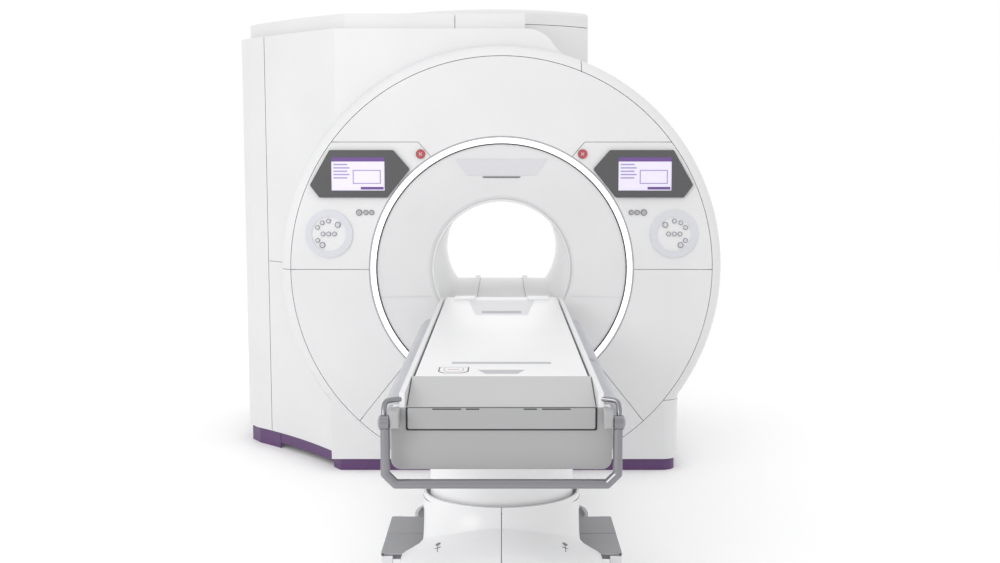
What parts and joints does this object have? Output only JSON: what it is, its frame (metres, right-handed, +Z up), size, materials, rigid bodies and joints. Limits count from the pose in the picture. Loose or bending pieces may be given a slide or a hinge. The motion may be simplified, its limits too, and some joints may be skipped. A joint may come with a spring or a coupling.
{
  "type": "mri scanner with docked patient table",
  "caption": "Wide-bore magnetic resonance scanner with round front, control panels and a docked wheeled patient table that lifts, slides and rolls away.",
  "frame": {"origin": "on the floor under the isocentre of the bore", "axes": "+Z up, +Y along the bore the way the patient goes in, +X to the right seen from the table"},
  "size_m": [2.5812, 4.312, 2.43],
  "materials": {
    "gantry_cover": "satin moulded cover",
    "plinth_trim": "purple trim",
    "painted_steel": "painted",
    "bore_laminate": "satin laminate",
    "coil_epoxy": "cast epoxy",
    "light_diffuser": "white diffuser",
    "screen_bezel": "dark bezel",
    "keypad_plastic": "wipe-clean overlay",
    "stop_red": "satin",
    "button_grey": "satin",
    "cradle_top": "satin",
    "table_grey": "satin",
    "table_light_grey": "satin",
    "table_white": "painted",
    "steel": "brushed",
    "pedal_grey": "satin",
    "wheel_rubber": "matte"
  },
  "bodies": {
    "left_row_button_1_body": {"left_row_button_1": "button_grey"},
    "left_row_button_2_body": {"left_row_button_2": "button_grey"},
    "left_row_button_3_body": {"left_row_button_3": "button_grey"},
    "left_stop_button_body": {"left_stop_button": "stop_red"},
    "right_row_button_1_body": {"right_row_button_1": "button_grey"},
    "right_row_button_2_body": {"right_row_button_2": "button_grey"},
    "right_row_button_3_body": {"right_row_button_3": "button_grey"},
    "right_stop_button_body": {"right_stop_button": "stop_red"},
    "table_base": {"base_chassis": "painted_steel", "base_shroud_left": "table_white", "base_shroud_right": "table_white", "lift_column": "painted_steel"},
    "table_top": {"table_frame": "table_white", "end_cover": "table_grey", "left_side_rail_cover": "table_light_grey", "right_side_rail_cover": "table_light_grey", "column_sleeve": "table_white"},
    "cradle_body": {"cradle": "cradle_top", "cradle_end_cap": "table_grey"},
    "grip": {"handlebar": "steel"},
    "rear_wheels": {"rear_wheel_set": "wheel_rubber"},
    "left_pedal_body": {"left_pedal": "pedal_grey"},
    "left_fork": {"left_caster_fork": "painted_steel"},
    "left_wheel": {"left_caster_wheel": "wheel_rubber"},
    "right_pedal_body": {"right_pedal": "pedal_grey"},
    "right_fork": {"right_caster_fork": "painted_steel"},
    "right_wheel": {"right_caster_wheel": "wheel_rubber"},
    "gantry": {"body_coil": "coil_epoxy", "bore_tube": "bore_laminate", "cold_head": "painted_steel", "cover_carrier": "painted_steel", "cradle_bridge": "bore_laminate", "dock_cover": "gantry_cover", "entry_flare": "bore_laminate", "front_left_cover": "gantry_cover", "front_right_cover": "gantry_cover", "front_top_cover": "gantry_cover", "gradient_coil": "coil_epoxy", "left_display": "screen_bezel", "left_keypad": "keypad_plastic", "left_side_panel": "gantry_cover", "light_ring": "light_diffuser", "lower_left_cover": "gantry_cover", "lower_right_cover": "gantry_cover", "magnet_feet": "painted_steel", "magnet_vessel": "painted_steel", "plinth_left": "plinth_trim", "plinth_left_rear": "plinth_trim", "plinth_right": "plinth_trim", "rear_cover": "gantry_cover", "rear_flare": "bore_laminate", "right_display": "screen_bezel", "right_foot_cover": "gantry_cover", "right_keypad": "keypad_plastic", "right_side_cover": "gantry_cover", "shoulder_cover": "gantry_cover", "top_cover_left": "gantry_cover", "top_cover_right": "gantry_cover", "turret_cap": "gantry_cover", "turret_cover": "gantry_cover"}
  },
  "joints": [
    {"name": "table_undock", "type": "slide", "parent": "gantry", "child": "table_base", "axis": [0, -1, 0], "range_m": [0, 1.2]},
    {"name": "table_lift", "type": "slide", "parent": "table_base", "child": "table_top", "axis": [0, 0, 1], "range_m": [-0.23, 0]},
    {"name": "cradle_slide", "type": "slide", "parent": "table_top", "child": "cradle_body", "axis": [0, 1, 0], "range_m": [0, 1.6]},
    {"name": "handlebar_swing", "type": "hinge", "parent": "table_top", "child": "grip", "pos_m": [0, -3.44, 0.841], "axis": [-1, 0, 0], "range_deg": [0, 90]},
    {"name": "left_pedal_press", "type": "hinge", "parent": "table_base", "child": "left_pedal_body", "pos_m": [-0.405, -2.555, 0.2], "axis": [0, 1, 0], "range_deg": [0, 8], "stiffness_Nm_per_rad": 12, "springref_deg": -20.05},
    {"name": "left_caster_swivel", "type": "hinge", "parent": "table_base", "child": "left_fork", "pos_m": [-0.235, -2.93, 0.15], "axis": [0, 0, 1], "continuous": true},
    {"name": "left_caster_roll", "type": "hinge", "parent": "left_fork", "child": "left_wheel", "pos_m": [-0.235, -2.962, 0.062], "axis": [1, 0, 0], "continuous": true},
    {"name": "right_pedal_press", "type": "hinge", "parent": "table_base", "child": "right_pedal_body", "pos_m": [0.405, -2.555, 0.2], "axis": [0, -1, 0], "range_deg": [0, 8], "stiffness_Nm_per_rad": 12, "springref_deg": -20.05},
    {"name": "right_caster_swivel", "type": "hinge", "parent": "table_base", "child": "right_fork", "pos_m": [0.235, -2.93, 0.15], "axis": [0, 0, 1], "continuous": true},
    {"name": "right_caster_roll", "type": "hinge", "parent": "right_fork", "child": "right_wheel", "pos_m": [0.235, -2.962, 0.062], "axis": [1, 0, 0], "continuous": true},
    {"name": "rear_wheels_roll", "type": "hinge", "parent": "table_base", "child": "rear_wheels", "pos_m": [0, -1.29, 0.062], "axis": [1, 0, 0], "continuous": true},
    {"name": "left_row_button_1_press", "type": "slide", "parent": "gantry", "child": "left_row_button_1_body", "axis": [0, 1, 0], "range_m": [0, 0.0015], "stiffness_N_per_m": 600, "springref_m": -0.002},
    {"name": "left_row_button_2_press", "type": "slide", "parent": "gantry", "child": "left_row_button_2_body", "axis": [0, 1, 0], "range_m": [0, 0.0015], "stiffness_N_per_m": 600, "springref_m": -0.002},
    {"name": "left_row_button_3_press", "type": "slide", "parent": "gantry", "child": "left_row_button_3_body", "axis": [0, 1, 0], "range_m": [0, 0.0015], "stiffness_N_per_m": 600, "springref_m": -0.002},
    {"name": "left_stop_button_press", "type": "slide", "parent": "gantry", "child": "left_stop_button_body", "axis": [0, 1, 0], "range_m": [0, 0.004], "stiffness_N_per_m": 600, "springref_m": -0.002},
    {"name": "right_row_button_1_press", "type": "slide", "parent": "gantry", "child": "right_row_button_1_body", "axis": [0, 1, 0], "range_m": [0, 0.0015], "stiffness_N_per_m": 600, "springref_m": -0.002},
    {"name": "right_row_button_2_press", "type": "slide", "parent": "gantry", "child": "right_row_button_2_body", "axis": [0, 1, 0], "range_m": [0, 0.0015], "stiffness_N_per_m": 600, "springref_m": -0.002},
    {"name": "right_row_button_3_press", "type": "slide", "parent": "gantry", "child": "right_row_button_3_body", "axis": [0, 1, 0], "range_m": [0, 0.0015], "stiffness_N_per_m": 600, "springref_m": -0.002},
    {"name": "right_stop_button_press", "type": "slide", "parent": "gantry", "child": "right_stop_button_body", "axis": [0, 1, 0], "range_m": [0, 0.004], "stiffness_N_per_m": 600, "springref_m": -0.002}
  ]
}
